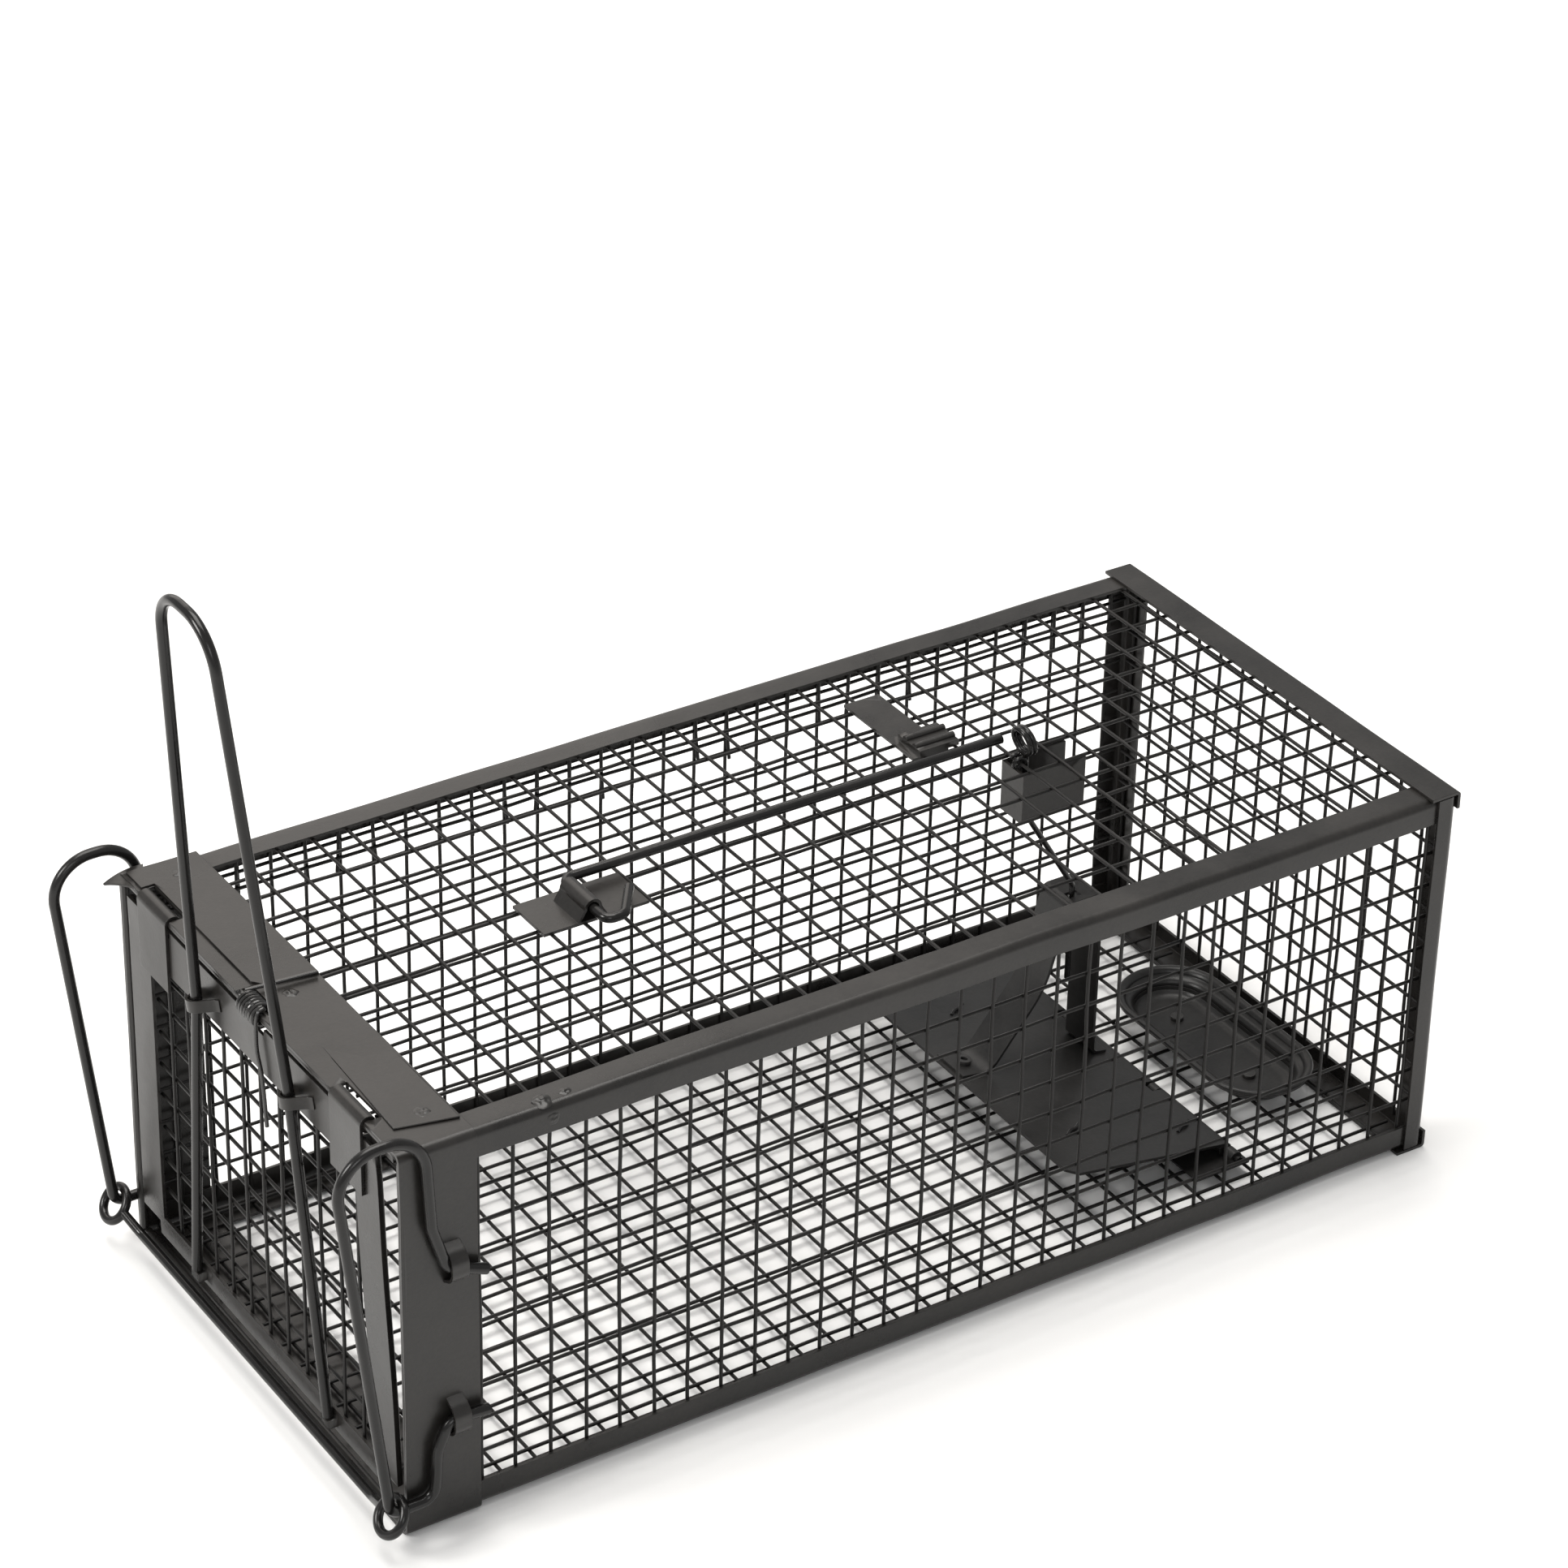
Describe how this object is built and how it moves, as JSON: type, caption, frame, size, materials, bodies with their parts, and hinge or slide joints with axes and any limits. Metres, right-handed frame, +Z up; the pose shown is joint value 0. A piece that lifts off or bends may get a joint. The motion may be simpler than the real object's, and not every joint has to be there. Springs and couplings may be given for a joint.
{
  "type": "live catch trap",
  "caption": "Wire mesh cage trap with a sprung drop door and setting lever, sliding lock bar, trigger rod, catch, treadle and bait dish.",
  "frame": {"origin": "on the resting plane, in the middle of the overall length and width", "axes": "+X from the door to the rear of the cage, +Y to the cage's left as seen from behind the door looking in, +Z up"},
  "size_m": [0.3228, 0.1554, 0.2204],
  "materials": {
    "painted_sheet": "satin black paint",
    "painted_mesh": "satin black paint",
    "painted_wire": "satin black paint",
    "painted_treadle": "satin black paint",
    "spring_steel": "oiled wire",
    "rivet_metal": "worn"
  },
  "bodies": {
    "cage": {"front_band": "painted_sheet", "band_overlap": "painted_sheet", "guide_straps": "painted_sheet", "guide_wire_left": "painted_wire", "guide_wire_right": "painted_wire", "edge_top_left": "painted_sheet", "edge_top_right": "painted_sheet", "edge_bottom_left": "painted_sheet", "edge_bottom_right": "painted_sheet", "rear_strip_top": "painted_sheet", "rear_strip_bottom": "painted_sheet", "rear_post_left": "painted_sheet", "rear_post_right": "painted_sheet", "rod_bracket": "painted_sheet", "rod_clip": "painted_sheet", "catch_bracket": "painted_sheet", "treadle_base": "painted_treadle", "treadle_axle": "painted_wire", "bait_dish": "painted_treadle", "dish_rivets": "rivet_metal", "spring_coil": "spring_steel", "top_mesh": "painted_mesh", "floor_mesh": "painted_mesh", "left_mesh": "painted_mesh", "right_mesh": "painted_mesh", "rear_mesh": "painted_mesh"},
    "door": {"door_top_rail": "painted_sheet", "door_bottom_rail": "painted_sheet", "door_stile_left": "painted_sheet", "door_stile_right": "painted_sheet", "hinge_strap_left": "painted_sheet", "hinge_strap_right": "painted_sheet", "door_mesh": "painted_mesh", "lever_wire": "painted_wire", "lever_bridges": "painted_sheet", "spring_leg": "spring_steel"},
    "lock": {"lock_bar": "painted_wire"},
    "rod": {"trigger_rod": "painted_wire"},
    "catch": {"catch_wire": "painted_wire"},
    "treadle": {"treadle_plate": "painted_treadle", "treadle_arch": "painted_treadle", "arch_rivets": "rivet_metal"}
  },
  "joints": [
    {"name": "door_hinge", "type": "hinge", "parent": "cage", "child": "door", "pos_m": [-0.14227, 0, 0.1076], "axis": [0, 1, 0], "range_deg": [0, 90], "stiffness_Nm_per_rad": 0.03, "springref_deg": -85.94},
    {"name": "lock_bar_slide", "type": "slide", "parent": "cage", "child": "lock", "axis": [-0.1168, 0, 0.9932], "range_m": [0, 0.08]},
    {"name": "trigger_rod_pivot", "type": "hinge", "parent": "cage", "child": "rod", "pos_m": [-0.05527, 0, 0.1112], "axis": [0, -1, 0], "range_deg": [0, 175]},
    {"name": "treadle_pivot", "type": "hinge", "parent": "cage", "child": "treadle", "pos_m": [0.10993, 0, 0.0062], "axis": [0, -1, 0], "range_deg": [0, 8], "stiffness_Nm_per_rad": 0.1, "springref_deg": -14.32},
    {"name": "catch_pivot", "type": "hinge", "parent": "cage", "child": "catch", "pos_m": [0.07603, 0.00245, 0.1076], "axis": [0, 1, 0], "range_deg": [0, 9.2]}
  ],
  "couplings": [
    {"joint": "catch_pivot", "follows": "treadle_pivot", "ratio": 1.13}
  ]
}
